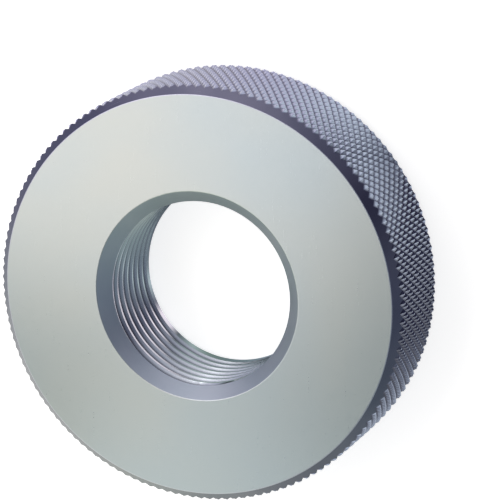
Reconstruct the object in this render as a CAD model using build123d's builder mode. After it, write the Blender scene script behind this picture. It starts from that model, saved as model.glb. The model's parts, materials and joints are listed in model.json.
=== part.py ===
from build123d import *
from math import cos, pi, radians, sin, sqrt, tan
import os

# Thread ring gauge for M30x2, right-hand: one hardened steel ring with ground faces,
# a chamfered and diamond-knurled rim, and a threaded bore with a countersink at each end.
# Millimetres, +Z up along the ring's axis, origin at the centre of the lower face.

# Blank
outer_diameter = 63.0  # over the crests of the knurl
width = 18.5  # face to face
rim_chamfer = 1.375  # leg of the 45 degree chamfer at both ends of the rim, from the crests

# Thread: the bore is its minor diameter, and the fine helical groove itself isn't cut
thread_diameter = 30.0
thread_pitch = 2.0
countersink_margin = 0.8  # both 45 degree countersinks reach this far outside the thread

# Left-right diamond knurl, from chamfer to chamfer
knurl_pitch = 1.2  # groove to groove, square to the grooves
knurl_angle = 30.0  # between the grooves and the ring's axis, before the rows are fitted
knurl_depth = 0.5  # crests to groove floors

# Thread form: an ISO metric nut thread is 5/8 of its sharp triangle's height deep
sharp_height = thread_pitch * sqrt(3) / 2
minor_radius = thread_diameter / 2 - sharp_height * 5 / 8
countersink_radius = thread_diameter / 2 + countersink_margin

# Knurl lattice: around and along the rim, crests and groove crossings take turns. A whole
# number of rows fits between the circles where the chamfers run out on the groove floors.
crest_radius = outer_diameter / 2
floor_radius = crest_radius - knurl_depth
teeth = round(2 * pi * crest_radius * cos(radians(knurl_angle)) / knurl_pitch)
half_tooth_angle = 180 / teeth
knurl_start = rim_chamfer - knurl_depth
knurl_length = width - 2 * knurl_start
unfitted_row_height = pi * crest_radius / teeth / tan(radians(knurl_angle))
rows = 2 * round(knurl_length / unfitted_row_height / 2)
row_height = knurl_length / rows


def knurl_corner(column, row):
    """A crest, or the crossing of two grooves between four crests."""
    radius = crest_radius if (column + row) % 2 == 0 else floor_radius
    angle = radians(column * half_tooth_angle)
    return (radius * cos(angle), radius * sin(angle), knurl_start + row * row_height)


def knurl_flanks(column, row):
    """The two tooth flanks in one cell of the lattice, either side of its groove."""
    here, beside = knurl_corner(column, row), knurl_corner(column + 1, row)
    above, across = knurl_corner(column, row + 1), knurl_corner(column + 1, row + 1)
    if (column + row) % 2 == 0:
        flanks = (here, beside, above), (across, above, beside)
    else:
        flanks = (beside, across, here), (above, here, across)
    return [Face(Wire.make_polygon(flank)) for flank in flanks]


def bar_end(row):
    """The star-shaped end of the knurled bar."""
    return Face(Wire.make_polygon([knurl_corner(column, row) for column in range(2 * teeth)]))


# Knurled bar: the same lattice, with enough rows to stand out past both faces of the ring
spare_rows = int(knurl_start / row_height) + 1
bottom_row = -spare_rows
top_row = rows + spare_rows
bar_skin = [bar_end(bottom_row), bar_end(top_row)]
for row in range(bottom_row, top_row):
    for column in range(2 * teeth):
        bar_skin += knurl_flanks(column, row)
knurled_bar = Solid(Shell(bar_skin))

# Ring, turned and bored from the bar. Its section stands one knurl depth outside the
# crests, so that between the chamfers the knurl alone forms the rim.
with BuildPart() as gauge_ring:
    with BuildSketch(Plane.XZ) as section:
        with Locations((minor_radius, 0)):
            Rectangle(crest_radius + knurl_depth - minor_radius, width, align=Align.MIN)
        bore_corners = section.vertices().group_by(Axis.X)[0]
        rim_corners = section.vertices().group_by(Axis.X)[-1]
        chamfer(bore_corners, length=countersink_radius - minor_radius)
        chamfer(rim_corners, length=rim_chamfer + knurl_depth)
    revolve(axis=Axis.Z)
    add(knurled_bar, mode=Mode.INTERSECT)

gauge_ring.part.label = "gauge_ring"

os.makedirs("parts", exist_ok=True)
export_step(gauge_ring.part, "parts/gauge_ring.step")
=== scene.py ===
import json
import random
from math import cos, pi, radians, sin, sqrt

import bmesh
import bpy
from mathutils import Matrix, Vector


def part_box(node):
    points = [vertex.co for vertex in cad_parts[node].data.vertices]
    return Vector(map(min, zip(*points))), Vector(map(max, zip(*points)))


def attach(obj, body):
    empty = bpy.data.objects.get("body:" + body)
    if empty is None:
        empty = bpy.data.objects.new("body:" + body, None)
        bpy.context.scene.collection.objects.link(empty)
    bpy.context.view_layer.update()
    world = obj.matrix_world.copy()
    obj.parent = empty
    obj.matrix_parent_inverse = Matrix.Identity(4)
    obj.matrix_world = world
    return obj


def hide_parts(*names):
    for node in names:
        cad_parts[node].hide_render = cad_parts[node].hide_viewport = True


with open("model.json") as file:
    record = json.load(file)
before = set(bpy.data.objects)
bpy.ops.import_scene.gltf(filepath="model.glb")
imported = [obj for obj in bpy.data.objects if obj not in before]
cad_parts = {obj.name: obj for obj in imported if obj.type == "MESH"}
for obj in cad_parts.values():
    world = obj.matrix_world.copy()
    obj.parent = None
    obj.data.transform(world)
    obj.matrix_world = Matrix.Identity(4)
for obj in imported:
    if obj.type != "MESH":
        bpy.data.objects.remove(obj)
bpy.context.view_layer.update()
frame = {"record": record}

# Thread ring gauge for M30x2, right-hand: one hardened steel ring. Its faces are ground, its
# chamfered and diamond-knurled rim is dark, partly a hardening colour and partly painted shade
# and dark reflection, with bright crests, and its bore is tapped between two countersinks.
# Metres, +Z up along the ring's axis, origin at the centre of the lower face.
MM = 0.001

# Blank, from the frame
ring_low, ring_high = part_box("gauge_ring")
crest_radius = (ring_high[0] - ring_low[0]) / 2
width = ring_high[2] - ring_low[2]
thread_mount = next(mount for mount in frame["record"]["mounts"] if mount["name"] == "thread")
minor_radius = thread_mount["dims"]["r_mm"] * MM
rim_chamfer = 1.375 * MM
edge_break = 0.06 * MM

# Thread: ISO metric, with its crests' corners lightly broken and its roots slightly eased
thread_radius = 15.0 * MM
thread_pitch = 2.0 * MM
countersink_margin = 0.8 * MM
crest_flat = thread_pitch / 4
root_flat = thread_pitch / 8
flank_slope = 1 / sqrt(3)  # each flank leans 30 degrees
crest_break = 0.05 * MM
root_ease = 0.04 * MM
first_crest_depth = 1.73 * MM
first_crest_angle = 30.0
run_out_margin = 0.30 * MM
run_out_rise = 0.25 * MM

# Tap: how far its body stays clear of the bore, and its spare turns past each face
tap_clearance = 0.5 * MM
spare_turns = 2

# Left-right diamond knurl: heights are shares of its depth
teeth = 143
rows = 14
knurl_depth = 0.5 * MM
groove_floor = 0.03
tooth_wear = 0.05
tooth_wander = 0.03
knurl_seed = 30

# One knurl tooth, outside in: the share of the way from its middle to the groove crossings,
# the height there, and whether that part is worn
tooth_steps = [
    (0.92, 0.085, False),
    (0.26, 0.94, True),
    (0.18, 0.99, True),
]

# Facets
turned_columns = 360
tap_columns = 360
smooth_angle = 35.0

# Camera: where it stands, what it looks at, and how far it is rolled
camera_place = Vector((-175.0, -130.3, 482.9)) * MM
camera_aim = Vector((-8.392, -7.763, 18.5)) * MM
camera_roll = -123.742
camera_lens = 252.0
camera_nearest = 0.01
camera_farthest = 20.0

# World and floor
world_light = 0.35
world_tint = (0.82, 1.0, 1.10, 1)
floor_side = 3.0
floor_colour = (0.8, 0.8, 0.8, 1)
floor_white_seen = 0.74

# Lamps: name, side, power in watts, colour and place
soft_lamps = [
    ("key", 0.12, 0.072, (1.0, 0.93, 0.87), (0.060, -0.023, 0.138)),
    ("side", 0.30, 0.35, (1.0, 0.98, 0.95), (0.207, -0.246, 0.383)),
    ("fill", 0.05, 0.006, (0.95, 0.98, 1.0), (0.033, 0.066, 0.100)),
]

# Cards, which stand in for a darker room in the steel's reflections. Each has a profile of
# radius and height, and its shades by azimuth. The apron lies beside the ring, and the hole
# card lies under its bore.
card_panels = 96
whole_turn = (-180, 180)
apron_arc = (-146, -70)
wall_profile = [(0.50, -0.22), (0.50, 0.77)]
wall_shades = [
    (-180, (0.24, 0.26, 0.32)),
    (-150, (0.09, 0.09, 0.15)),
    (-110, (0.50, 0.50, 0.60)),
    (-72, (1.00, 0.95, 1.06)),
    (-35, (0.38, 0.37, 0.52)),
    (0, (0.46, 0.47, 0.56)),
    (36, (1.34, 1.41, 1.20)),
    (55, (1.30, 1.39, 1.12)),
    (90, (0.73, 0.78, 0.69)),
    (130, (0.34, 0.41, 0.42)),
    (165, (0.21, 0.24, 0.31)),
]
low_profile = [(0.22, -0.40), (0.50, -0.22)]
low_shades = [
    (-176, (0.22, 0.24, 0.30)),
    (-168, (0.06, 0.07, 0.10)),
    (-155, (0.03, 0.03, 0.06)),
    (-103, (0.06, 0.06, 0.10)),
    (-88, (0.80, 0.78, 0.92)),
    (-62, (1.20, 1.14, 1.32)),
    (-30, (1.15, 1.08, 1.25)),
    (0, (0.80, 0.80, 0.90)),
    (25, (1.16, 1.15, 1.04)),
    (42, (1.16, 1.15, 1.04)),
    (64, (0.10, 0.11, 0.14)),
    (95, (0.24, 0.25, 0.29)),
    (118, (0.60, 0.64, 0.69)),
    (145, (1.00, 1.10, 1.15)),
    (160, (0.88, 0.95, 1.00)),
    (173, (0.50, 0.55, 0.60)),
]
bottom_profile = [(0.0, -0.40), (0.22, -0.40)]
bottom_shades = [
    (-180, (0.04, 0.04, 0.08)),
    (-115, (0.06, 0.06, 0.11)),
    (-80, (0.30, 0.30, 0.40)),
    (-40, (0.80, 0.78, 0.90)),
    (40, (0.60, 0.60, 0.62)),
    (85, (0.20, 0.22, 0.26)),
    (140, (0.06, 0.06, 0.10)),
]
apron_profile = [(0.0317, 0.0005), (0.060, 0.0005)]
apron_shades = [
    (-146, (0.20, 0.22, 0.27)),
    (-136, (0.62, 0.68, 0.74)),
    (-125, (1.00, 1.09, 1.15)),
    (-100, (0.90, 0.87, 1.04)),
    (-80, (0.98, 0.95, 1.04)),
]
hole_profile = [(0.0, 0.0005), (0.0138, 0.0005)]
hole_shades = [
    (-180, (0.40, 0.45, 0.50)),
    (-20, (0.14, 0.16, 0.20)),
    (3, (0.26, 0.30, 0.34)),
    (14, (0.62, 0.70, 0.74)),
    (26, (0.22, 0.22, 0.28)),
    (34, (1.35, 1.16, 1.26)),
    (42, (1.20, 1.06, 1.16)),
    (49, (0.14, 0.16, 0.18)),
    (60, (0.48, 0.57, 0.56)),
    (72, (0.24, 0.31, 0.29)),
    (86, (0.20, 0.26, 0.27)),
    (120, (0.26, 0.33, 0.40)),
]

# Worked out
floor_radius = crest_radius - knurl_depth
blank_radius = crest_radius + knurl_depth
face_radius = crest_radius - rim_chamfer
countersink_radius = thread_radius + countersink_margin
knurl_start = rim_chamfer - knurl_depth
row_height = (width - 2 * knurl_start) / rows

GROUND, CHAMFER, COUNTERSINK, THREAD, KNURL = range(5)


# ---------------------------------------------------------------- meshes

def mesh_object(name, corners, faces, finishes):
    """A mesh object, with one finish number for each face."""
    mesh = bpy.data.meshes.new(name)
    mesh.from_pydata(corners, [], faces)
    mesh.polygons.foreach_set("material_index", finishes)
    made = bpy.data.objects.new(name, mesh)
    bpy.context.collection.objects.link(made)
    return made


def around(radius, angle, height):
    """The place at that radius, angle in radians and height."""
    return (radius * cos(angle), radius * sin(angle), height)


def eased_corner(before, corner, after):
    """A corner of the section with its edge broken, and a point each side that keeps the flats flat."""
    before, corner, after = Vector(before), Vector(corner), Vector(after)
    inward = (before - corner).normalized()
    onward = (after - corner).normalized()
    start, end = corner + inward * edge_break, corner + onward * edge_break
    middle = (start + 2 * corner + end) / 4
    flat_end, flat_start = corner + inward * 2 * edge_break, corner + onward * 2 * edge_break
    return [flat_end, start, middle, end, flat_start]


def turned_blank():
    """The ring turned and bored, its outside left one knurl depth large.

    Each corner of the section has the finish of the surface that follows it, and says
    whether its edge is broken.
    """
    countersink_depth = countersink_radius - minor_radius
    shoulder = blank_radius - face_radius
    outline = [
        ((countersink_radius, 0), GROUND, True),
        ((face_radius, 0), CHAMFER, True),
        ((blank_radius, shoulder), KNURL, False),
        ((blank_radius, width - shoulder), CHAMFER, False),
        ((face_radius, width), GROUND, True),
        ((countersink_radius, width), COUNTERSINK, True),
        ((minor_radius, width - countersink_depth), THREAD, False),
        ((minor_radius, countersink_depth), COUNTERSINK, False),
    ]
    section, section_finish = [], []
    for index, (corner, finish, eased) in enumerate(outline):
        if not eased:
            section.append(Vector(corner))
            section_finish.append(finish)
            continue
        before, finish_before, _ = outline[index - 1]
        after = outline[(index + 1) % len(outline)][0]
        section += eased_corner(before, corner, after)
        section_finish += [finish_before, GROUND, GROUND, finish, finish]
    corners, faces, finishes = [], [], []
    for radius, height in section:
        for column in range(turned_columns):
            corners.append(around(radius, 2 * pi * column / turned_columns, height))
    for index in range(len(section)):
        following = (index + 1) % len(section)
        for column in range(turned_columns):
            beside = (column + 1) % turned_columns
            faces.append((
                index * turned_columns + column,
                index * turned_columns + beside,
                following * turned_columns + beside,
                following * turned_columns + column,
            ))
            finishes.append(section_finish[index])
    return mesh_object("blank", corners, faces, finishes)


def knurled_bar():
    """A bar with raised diamonds all over, long enough to stand out past both faces."""
    draw = random.Random(knurl_seed)
    spare_rows = int(knurl_start / row_height) + 2
    columns = 2 * teeth
    corners, faces, crossings = [], [], {}

    def corner(column, row, height):
        radius = floor_radius + knurl_depth * height
        corners.append(around(radius, pi * column / teeth, knurl_start + row * row_height))
        return len(corners) - 1

    def crossing(column, row):
        """Where two grooves cross between four teeth."""
        column %= columns
        if (column, row) not in crossings:
            crossings[column, row] = corner(column, row, groove_floor)
        return crossings[column, row]

    for row in range(1 - spare_rows, rows + spare_rows):
        for column in range(row % 2, columns, 2):
            worn = 1 - tooth_wear * draw.random()
            slip = tooth_wander * (draw.random() - 0.5)
            ring = [
                crossing(column + 1, row),
                crossing(column, row + 1),
                crossing(column - 1, row),
                crossing(column, row - 1),
            ]
            for reach, height, wears in tooth_steps:
                lifted = height * worn if wears else height
                middle = column + slip if wears else column
                inner = [
                    corner(middle + reach, row, lifted),
                    corner(middle, row + reach, lifted),
                    corner(middle - reach, row, lifted),
                    corner(middle, row - reach, lifted),
                ]
                for side in range(4):
                    beside = (side + 1) % 4
                    faces.append((ring[side], ring[beside], inner[beside], inner[side]))
                ring = inner
            faces.append(tuple(ring))
    for end, step in ((-spare_rows, 1), (rows + spare_rows, -1)):
        corners.append((0, 0, knurl_start + end * row_height))
        centre = len(corners) - 1
        for column in range((end + 1) % 2, columns, 2):
            for side in (-1, 1):
                faces.append((centre, crossing(column, end), crossing(column + side, end + step)))
    return mesh_object("bar", corners, faces, [KNURL] * len(faces))


def tap_depth(root):
    """How fully the tap cuts where the groove's root is at that height: 0 near both countersinks."""
    from_mouth = min(root, width - root) - (countersink_radius - minor_radius)
    return min(1, max(0, (from_mouth - run_out_margin) / run_out_rise))


def tap():
    """The thread's cutter: a right-hand helical skin, closed at both ends."""
    flank_top = (thread_pitch - crest_flat) / 2
    clear_radius = minor_radius - tap_clearance
    past_corner, inside_bore, skirt = crest_break * 0.7, crest_break * 0.4, crest_break * 2
    half_form = [
        (root_flat / 2 - root_ease, thread_radius),
        (root_flat / 2 + root_ease * flank_slope, thread_radius - root_ease),
        (flank_top - crest_break * flank_slope, minor_radius + crest_break),
        (flank_top + past_corner, minor_radius - inside_bore),
        (flank_top + skirt, clear_radius),
    ]
    form = [(-height, radius) for height, radius in reversed(half_form)] + half_form
    turns = int(width / thread_pitch) + 2 * spare_turns
    first_root = width - first_crest_depth + thread_pitch / 2 - first_crest_angle / 360 * thread_pitch
    lowest_root = first_root - (turns - spare_turns) * thread_pitch
    corners, faces = [], []
    for turn in range(turns):
        for height, radius in form:
            for column in range(tap_columns):
                share = column / tap_columns
                root = lowest_root + (turn + share) * thread_pitch
                reach = clear_radius + (radius - clear_radius) * tap_depth(root)
                corners.append(around(reach, 2 * pi * share, root + height))

    def corner(line, column):
        """The corner on a line of the form, running on from one turn into the next."""
        if column == tap_columns:
            line, column = line + len(form), 0
        return line * tap_columns + column

    lines = turns * len(form)
    last_line = lines - len(form) - 1
    for line in range(last_line):
        for column in range(tap_columns):
            faces.append((
                corner(line, column),
                corner(line, column + 1),
                corner(line + 1, column + 1),
                corner(line + 1, column),
            ))
    for line in (0, last_line):
        edge = [corner(line, column) for column in range(tap_columns + 1)]
        edge += [corner(line + step, 0) for step in range(len(form) - 1, -1, -1)]
        low = lowest_root if line == 0 else lowest_root + (turns - 1) * thread_pitch
        corners.append((0, 0, low))
        centre = len(corners) - 1
        faces += [(centre, here, after) for here, after in zip(edge, edge[1:])]
    return mesh_object("tap", corners, faces, [THREAD] * len(faces))


def outward(made):
    """Turns the faces of a closed mesh outwards, and takes away corners that no face uses."""
    skin = bmesh.new()
    skin.from_mesh(made.data)
    loose = [corner for corner in skin.verts if not corner.link_faces]
    bmesh.ops.delete(skin, geom=loose, context="VERTS")
    bmesh.ops.recalc_face_normals(skin, faces=skin.faces)
    if skin.calc_volume(signed=True) < 0:
        bmesh.ops.reverse_faces(skin, faces=skin.faces)
    skin.to_mesh(made.data)
    skin.free()


def cut(piece, tool, operation):
    """Works the piece with the tool, and takes the tool away."""
    step = piece.modifiers.new(operation, "BOOLEAN")
    step.operation = operation
    step.solver = "MANIFOLD"
    step.material_mode = "INDEX"
    step.object = tool
    worked = piece.evaluated_get(bpy.context.evaluated_depsgraph_get())
    mesh = bpy.data.meshes.new_from_object(worked)
    piece.modifiers.clear()
    piece.data = mesh
    bpy.data.objects.remove(tool)


def crease(piece):
    """Smooth turned surfaces, with sharp edges where they end."""
    skin = bmesh.new()
    skin.from_mesh(piece.data)
    for facet in skin.faces:
        facet.smooth = True
    for edge in skin.edges:
        finishes = {facet.material_index for facet in edge.link_faces}
        meets_knurl = len(finishes) == 2 and KNURL in finishes
        meets_thread = finishes == {THREAD, COUNTERSINK}
        steep = edge.calc_face_angle(0) > radians(smooth_angle)
        edge.smooth = not (meets_knurl or meets_thread or steep)
    skin.to_mesh(piece.data)
    skin.free()


# ---------------------------------------------------------------- shader groups

def place(tree, kind, inputs=None, **settings):
    """A node with its settings, and a value or a link for each input named."""
    node = tree.nodes.new(kind)
    for setting, value in settings.items():
        setattr(node, setting, value)
    for socket, value in (inputs or {}).items():
        if isinstance(value, bpy.types.NodeSocket):
            tree.links.new(value, node.inputs[socket])
        else:
            node.inputs[socket].default_value = value
    return node


def reckon(tree, operation, first, second=0.0):
    """The output of a Math node."""
    return place(tree, "ShaderNodeMath", {0: first, 1: second}, operation=operation).outputs[0]


def blend(tree, share, first, second):
    """The output of a colour Mix node."""
    node = place(tree, "ShaderNodeMix", {0: share, 6: first, 7: second}, data_type="RGBA")
    return node.outputs[2]


def ramp(tree, value, low, high, to_low=0.0, to_high=1.0):
    """The output of a smooth Map Range node."""
    inputs = {0: value, 1: low, 2: high, 3: to_low, 4: to_high}
    return place(tree, "ShaderNodeMapRange", inputs, interpolation_type="SMOOTHSTEP").outputs[0]


def distance_from_axis(tree, apart):
    """How far a place is from an upright axis, from its separate X, Y and Z."""
    square_x = reckon(tree, "MULTIPLY", apart[0], apart[0])
    square_y = reckon(tree, "MULTIPLY", apart[1], apart[1])
    return reckon(tree, "SQRT", reckon(tree, "ADD", square_x, square_y))


def new_group(name, inputs, outputs):
    """An empty shader group with its sockets, and its input and output nodes."""
    group = bpy.data.node_groups.new(name, "ShaderNodeTree")
    for socket, kind, value in inputs:
        made = group.interface.new_socket(socket, in_out="INPUT", socket_type=kind)
        made.default_value = value
    for socket, kind in outputs:
        group.interface.new_socket(socket, in_out="OUTPUT", socket_type=kind)
    return group, group.nodes.new("NodeGroupInput").outputs, group.nodes.new("NodeGroupOutput").inputs


NUMBER, COLOUR, DIRECTION = "NodeSocketFloat", "NodeSocketColor", "NodeSocketVector"


def tool_lines_group():
    """Fine lines left by a turning or grinding tool, circling an upright axis."""
    group, given, result = new_group(
        "tool_lines",
        [
            ("Axis", DIRECTION, (0, 0, 0)),
            ("Lines per mm", NUMBER, 8.0),
            ("Unevenness", NUMBER, 6.0),
        ],
        [("Height", NUMBER)],
    )
    where = place(group, "ShaderNodeTexCoord").outputs["Object"]
    inputs = {0: where, 1: given["Axis"]}
    offset = place(group, "ShaderNodeVectorMath", inputs, operation="SUBTRACT").outputs[0]
    apart = place(group, "ShaderNodeSeparateXYZ", {0: offset}).outputs
    radius = distance_from_axis(group, apart)
    along_x = reckon(group, "MULTIPLY", reckon(group, "DIVIDE", apart[0], radius), given["Unevenness"])
    along_y = reckon(group, "MULTIPLY", reckon(group, "DIVIDE", apart[1], radius), given["Unevenness"])
    per_metre = reckon(group, "DIVIDE", given["Lines per mm"], MM)
    across = reckon(group, "MULTIPLY", radius, per_metre)
    upward = reckon(group, "MULTIPLY", apart[2], per_metre)
    spot = place(group, "ShaderNodeCombineXYZ", {0: along_x, 1: along_y, 2: across}).outputs[0]
    lines = place(
        group,
        "ShaderNodeTexNoise",
        {"Vector": spot, "W": upward, "Scale": 1.0, "Detail": 3.0, "Roughness": 0.7},
        noise_dimensions="4D",
    )
    group.links.new(lines.outputs[0], result["Height"])
    return group


def clouding_group():
    """Soft cloudy patches between two tones, as on steel that was ground, oiled and wiped."""
    group, given, result = new_group(
        "clouding",
        [
            ("First tone", COLOUR, (0.6, 0.6, 0.6, 1)),
            ("Second tone", COLOUR, (0.5, 0.5, 0.5, 1)),
            ("Patch size in mm", NUMBER, 15.0),
            ("Pattern", NUMBER, 0.0),
        ],
        [("Colour", COLOUR)],
    )
    where = place(group, "ShaderNodeTexCoord").outputs["Object"]
    scale = reckon(group, "DIVIDE", 1 / MM, given["Patch size in mm"])
    inputs = {"Vector": where, "W": given["Pattern"], "Scale": scale, "Detail": 3.0, "Distortion": 0.4}
    patches = place(group, "ShaderNodeTexNoise", inputs, noise_dimensions="4D").outputs[0]
    cloud = ramp(group, patches, low=0.32, high=0.68)
    colour = blend(group, cloud, given["First tone"], given["Second tone"])
    group.links.new(colour, result["Colour"])
    return group


def light_and_wear_band_group():
    """A ragged mask that rises from 0 to 1 as a measured value goes from one end to the other."""
    group, given, result = new_group(
        "light_and_wear_band",
        [
            ("Measure", NUMBER, 0.0),
            ("Start", NUMBER, 0.0),
            ("End", NUMBER, 1.0),
            ("Raggedness", NUMBER, 0.0),
        ],
        [("Mask", NUMBER)],
    )
    where = place(group, "ShaderNodeTexCoord").outputs["Object"]
    inputs = {"Vector": where, "Scale": 1.6 / MM, "Detail": 4.0, "Roughness": 0.6}
    ragged = place(group, "ShaderNodeTexNoise", inputs).outputs[0]
    swing = reckon(group, "MULTIPLY", reckon(group, "SUBTRACT", ragged, 0.5), given["Raggedness"])
    measured = reckon(group, "ADD", given["Measure"], swing)
    mask = ramp(group, measured, given["Start"], given["End"])
    group.links.new(mask, result["Mask"])
    return group


def handling_marks_group():
    """Sparse fine marks in two directions, where the steel is rubbed smoother."""
    directions = [(0.6, 9.0), (2.1, 6.0)]  # turn in radians, and length in millimetres
    marks_per_metre = 7 / MM
    group, given, result = new_group(
        "handling_marks",
        [("Amount", NUMBER, 0.5)],
        [("Mask", NUMBER)],
    )
    where = place(group, "ShaderNodeTexCoord").outputs["Object"]
    marks = []
    for turn, length in directions:
        stretch = (marks_per_metre, 1 / (length * MM), 1 / MM)
        inputs = {"Vector": where, "Rotation": (0, 0, turn), "Scale": stretch}
        stretched = place(group, "ShaderNodeMapping", inputs).outputs[0]
        inputs = {"Vector": stretched, "Scale": 1.0, "Detail": 1.0}
        marks.append(place(group, "ShaderNodeTexNoise", inputs).outputs[0])
    strongest = reckon(group, "MAXIMUM", *marks)
    sparse = ramp(group, strongest, low=0.70, high=0.80)
    group.links.new(reckon(group, "MULTIPLY", sparse, given["Amount"]), result["Mask"])
    return group


def use(tree, group, inputs):
    """A group placed in a material with its own values."""
    return place(tree, "ShaderNodeGroup", inputs, node_tree=group).outputs


# ---------------------------------------------------------------- materials

def steel(name):
    """A bare metal material: its node tree and its shader."""
    material = bpy.data.materials.new(name)
    material.use_nodes = True
    tree = material.node_tree
    shader = tree.nodes["Principled BSDF"]
    shader.inputs["Metallic"].default_value = 1.0
    return material, tree, shader


def bump(tree, shader, height, depth):
    """Feeds a height to the shader as relief of that depth."""
    relief = place(tree, "ShaderNodeBump", {"Height": height, "Strength": 1.0, "Distance": depth})
    tree.links.new(relief.outputs[0], shader.inputs["Normal"])


def grained(tree, lines, smoothest, roughest):
    """A roughness that follows the tool's lines."""
    return ramp(tree, lines, low=0.2, high=0.8, to_low=smoothest, to_high=roughest)


def radius_here(tree):
    """The distance from the ring's axis, in millimetres."""
    where = place(tree, "ShaderNodeTexCoord").outputs["Object"]
    apart = place(tree, "ShaderNodeSeparateXYZ", {0: where}).outputs
    return reckon(tree, "DIVIDE", distance_from_axis(tree, apart), MM)


def ground_face_steel():
    """Satin-ground steel with slow clouds that partly paint a warm-to-cool reflection, and a pale band of
    painted highlight, partly a rubbed edge, where the rim's chamfer begins.
    """
    material, tree, shader = steel("ground_face")
    wheel_axis = (0.16, -0.09, 0)
    grinding = {"Axis": wheel_axis, "Lines per mm": 5.0, "Unevenness": 400.0}
    grain = use(tree, tool_lines, grinding)[0]
    # Painted reflection, in part: large random patches from a warm tone to a cooler, darker one.
    tones = {
        "First tone": (0.415, 0.42, 0.405, 1),
        "Second tone": (0.35, 0.395, 0.43, 1),
        "Patch size in mm": 60.0,
        "Pattern": 3.0,
    }
    cloud = use(tree, clouding, tones)
    # Painted highlight: a pale lavender band at the face's outer edge, partly a rubbed edge.
    edge_highlight_width = 0.16
    highlight_and_wear_tone = (0.42, 0.42, 0.50, 1)
    band = {
        "Measure": radius_here(tree),
        "Start": face_radius / MM - edge_highlight_width,
        "End": face_radius / MM,
        "Raggedness": 0.12,
    }
    painted_light_and_wear = use(tree, light_and_wear_band, band)[0]
    colour = blend(tree, painted_light_and_wear, cloud["Colour"], highlight_and_wear_tone)
    tree.links.new(colour, shader.inputs["Base Color"])
    marks = use(tree, handling_marks, {"Amount": 0.3})[0]
    smoothed = reckon(tree, "MULTIPLY", marks, 0.08)
    rough = grained(tree, grain, smoothest=0.27, roughest=0.34)
    tree.links.new(reckon(tree, "SUBTRACT", rough, smoothed), shader.inputs["Roughness"])
    bump(tree, shader, grain, depth=0.002 * MM)
    return material


def turned_steel(name, tooling, tones, smoothest, roughest, depth):
    """Steel as the turning tool left it, with lines of that depth round the axis."""
    material, tree, shader = steel(name)
    lines = use(tree, tool_lines, tooling)[0]
    cloud = use(tree, clouding, tones)
    tree.links.new(cloud["Colour"], shader.inputs["Base Color"])
    tree.links.new(grained(tree, lines, smoothest, roughest), shader.inputs["Roughness"])
    bump(tree, shader, lines, depth)
    return material


def rim_chamfer_steel():
    """Dark blue-grey turned steel: partly its hardening colour, partly a painted dark reflection."""
    tooling = {"Lines per mm": 9.0, "Unevenness": 5.0}
    # Painted dark reflection: tones darker and bluer than the bare steel of the faces.
    tones = {
        "First tone": (0.165, 0.17, 0.225, 1),
        "Second tone": (0.22, 0.22, 0.28, 1),
        "Patch size in mm": 12.0,
    }
    return turned_steel("rim_chamfer", tooling, tones, smoothest=0.18, roughest=0.28, depth=0.003 * MM)


def countersink_steel():
    """Bright turned steel, duller than the ground faces."""
    tooling = {"Lines per mm": 7.0, "Unevenness": 3.0}
    tones = {
        "First tone": (0.45, 0.51, 0.56, 1),
        "Second tone": (0.50, 0.55, 0.60, 1),
        "Patch size in mm": 8.0,
    }
    return turned_steel("countersink", tooling, tones, smoothest=0.40, roughest=0.52, depth=0.004 * MM)


def thread_steel():
    """Steel painted dark in the thread's roots as shade, and painted bright towards its crests as
    highlight.
    """
    material, tree, shader = steel("thread")
    lines = use(tree, tool_lines, {"Lines per mm": 14.0, "Unevenness": 3.0})[0]
    # Painted highlight: a bright tone towards the crests.
    crest_highlight_tone = (0.59, 0.645, 0.665, 1)
    band = {
        "Measure": radius_here(tree),
        "Start": minor_radius / MM + 0.60,
        "End": minor_radius / MM + 0.15,
        "Raggedness": 0.10,
    }
    painted_shade_to_highlight = use(tree, light_and_wear_band, band)[0]
    # Painted shade: dark tones in the roots and flanks.
    tones = {
        "First tone": (0.10, 0.115, 0.14, 1),
        "Second tone": (0.15, 0.17, 0.19, 1),
        "Patch size in mm": 6.0,
    }
    cloud = use(tree, clouding, tones)
    colour = blend(tree, painted_shade_to_highlight, cloud["Colour"], crest_highlight_tone)
    tree.links.new(colour, shader.inputs["Base Color"])
    rough = grained(tree, lines, smoothest=0.16, roughest=0.26)
    tree.links.new(rough, shader.inputs["Roughness"])
    bump(tree, shader, lines, depth=0.002 * MM)
    return material


def knurl_steel():
    """Dark oxide steel in the grooves, deepened by painted shade, rubbed bright by hands towards the
    teeth's tops.
    """
    material, tree, shader = steel("knurl")
    highlight_and_wear_tone = (0.42, 0.44, 0.53, 1)
    band = {
        "Measure": radius_here(tree),
        "Start": floor_radius / MM + 0.02,
        "End": floor_radius / MM + 0.26,
        "Raggedness": 0.05,
    }
    painted_light_and_wear = use(tree, light_and_wear_band, band)[0]
    # Dark groove tones: oxide, and painted shade towards the groove floors.
    tones = {
        "First tone": (0.07, 0.07, 0.12, 1),
        "Second tone": (0.10, 0.10, 0.16, 1),
        "Patch size in mm": 5.0,
    }
    cloud = use(tree, clouding, tones)
    colour = blend(tree, painted_light_and_wear, cloud["Colour"], highlight_and_wear_tone)
    tree.links.new(colour, shader.inputs["Base Color"])
    rough = ramp(tree, painted_light_and_wear, low=0.0, high=1.0, to_low=0.26, to_high=0.20)
    tree.links.new(rough, shader.inputs["Roughness"])
    where = place(tree, "ShaderNodeTexCoord").outputs["Object"]
    grit = place(tree, "ShaderNodeTexNoise", {"Vector": where, "Scale": 9 / MM, "Detail": 4.0}).outputs[0]
    bump(tree, shader, grit, depth=0.006 * MM)
    return material


# ---------------------------------------------------------------- ring

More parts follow.
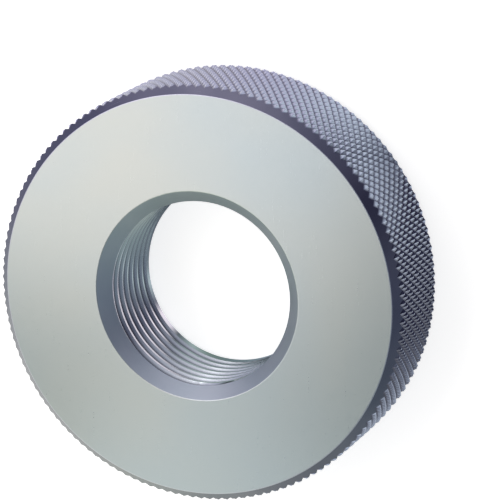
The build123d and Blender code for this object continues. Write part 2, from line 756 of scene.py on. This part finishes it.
def gauge_ring():
    """The finished ring: the blank knurled, then tapped."""
    finishes = [
        ground_face_steel(),
        rim_chamfer_steel(),
        countersink_steel(),
        thread_steel(),
        knurl_steel(),
    ]
    blank, bar, cutter = turned_blank(), knurled_bar(), tap()
    for shape in (blank, bar, cutter):
        outward(shape)
        for finish in finishes:
            shape.data.materials.append(finish)
    cut(blank, bar, "INTERSECT")
    cut(blank, cutter, "DIFFERENCE")
    crease(blank)
    blank.name = "ring"
    return blank


tool_lines = tool_lines_group()
clouding = clouding_group()
light_and_wear_band = light_and_wear_band_group()
handling_marks = handling_marks_group()

ring = gauge_ring()
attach(ring, "root")
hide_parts("gauge_ring")


# ---------------------------------------------------------------- studio

def white_world():
    """White where it is seen, and otherwise a plain soft light, slightly cool in mirror rays."""
    world = bpy.data.worlds.new("studio")
    bpy.context.scene.world = world
    world.use_nodes = True
    tree = world.node_tree
    shade = tree.nodes["Background"]
    rays = place(tree, "ShaderNodeLightPath").outputs
    seen = reckon(tree, "MAXIMUM", rays["Is Camera Ray"], rays["Is Transmission Ray"])
    tree.links.new(blend(tree, rays["Is Glossy Ray"], (1, 1, 1, 1), world_tint), shade.inputs["Color"])
    tree.links.new(reckon(tree, "MAXIMUM", seen, world_light), shade.inputs["Strength"])


def stage_material(name):
    """An empty material for a thing that isn't part of the ring."""
    material = bpy.data.materials.new(name)
    material.use_nodes = True
    material.node_tree.nodes.clear()
    return material, material.node_tree


def pale_floor():
    """A matt floor that keeps the ring's shadow, whiter where it is seen, and never mirrored."""
    side = floor_side / 2
    corners = [(-side, -side, 0), (side, -side, 0), (side, side, 0), (-side, side, 0)]
    floor = mesh_object("floor", corners, [(0, 1, 2, 3)], [0])
    floor.visible_glossy = False
    material, tree = stage_material("floor")
    matt = place(tree, "ShaderNodeBsdfDiffuse", {"Color": floor_colour}).outputs[0]
    seen = place(tree, "ShaderNodeLightPath").outputs["Is Camera Ray"]
    strength = reckon(tree, "MULTIPLY", seen, floor_white_seen)
    white = place(tree, "ShaderNodeEmission", {"Color": (1, 1, 1, 1), "Strength": strength}).outputs[0]
    both = place(tree, "ShaderNodeAddShader", {0: matt, 1: white}).outputs[0]
    place(tree, "ShaderNodeOutputMaterial", {"Surface": both})
    floor.data.materials.append(material)


def shaded_card(name, profile, shades, arc):
    """A card bent round the ring, seen only by mirror rays, with its shade by azimuth."""
    corners, faces = [], []
    start, end = arc
    seams = card_panels + 1
    for radius, height in profile:
        for seam in range(seams):
            azimuth = start + (end - start) * seam / card_panels
            corners.append(around(radius, radians(azimuth), height))
    for line in range(len(profile) - 1):
        for panel in range(card_panels):
            here = line * seams + panel
            faces.append((here, here + 1, here + 1 + seams, here + seams))
    card = mesh_object(name, corners, faces, [0] * len(faces))
    card.visible_camera = False
    card.visible_diffuse = False
    card.visible_shadow = False
    material, tree = stage_material(name)
    where = place(tree, "ShaderNodeTexCoord").outputs["Object"]
    apart = place(tree, "ShaderNodeSeparateXYZ", {0: where}).outputs
    turn = reckon(tree, "ARCTAN2", apart[1], apart[0])
    share = place(tree, "ShaderNodeMapRange", {0: turn, 1: -pi, 2: pi}).outputs[0]
    shade = place(tree, "ShaderNodeValToRGB", {0: share})
    band = shade.color_ramp
    while len(band.elements) < len(shades):
        band.elements.new(0.5)
    for stop, (azimuth, colour) in zip(band.elements, shades):
        stop.position = (azimuth + 180) / 360
        stop.color = (*colour, 1)
    glow = place(tree, "ShaderNodeEmission", {"Color": shade.outputs[0], "Strength": 1.0}).outputs[0]
    place(tree, "ShaderNodeOutputMaterial", {"Surface": glow})
    card.data.materials.append(material)


def soft_lamp(name, side, power, colour, spot):
    """A square lamp, turned towards the ring."""
    data = bpy.data.lights.new(name, "AREA")
    data.shape = "SQUARE"
    data.size = side
    data.energy = power
    data.color = colour
    lamp = bpy.data.objects.new(name, data)
    bpy.context.collection.objects.link(lamp)
    lamp.location = spot
    lamp.rotation_euler = (-lamp.location).to_track_quat("-Z", "Y").to_euler()


def rolled_camera():
    """The camera, turned about its own line of sight."""
    data = bpy.data.cameras.new("camera")
    data.lens = camera_lens
    data.clip_start = camera_nearest
    data.clip_end = camera_farthest
    camera = bpy.data.objects.new("camera", data)
    bpy.context.collection.objects.link(camera)
    facing = (camera_aim - camera_place).to_track_quat("-Z", "Y").to_matrix().to_4x4()
    roll = Matrix.Rotation(radians(camera_roll), 4, "Z")
    camera.matrix_world = Matrix.Translation(camera_place) @ facing @ roll
    bpy.context.scene.camera = camera


white_world()
pale_floor()
shaded_card("wall_card", wall_profile, wall_shades, whole_turn)
shaded_card("low_card", low_profile, low_shades, whole_turn)
shaded_card("bottom_card", bottom_profile, bottom_shades, whole_turn)
shaded_card("apron_card", apron_profile, apron_shades, apron_arc)
shaded_card("hole_card", hole_profile, hole_shades, whole_turn)
for lamp in soft_lamps:
    soft_lamp(*lamp)
rolled_camera()
bpy.context.scene.view_settings.view_transform = "Standard"
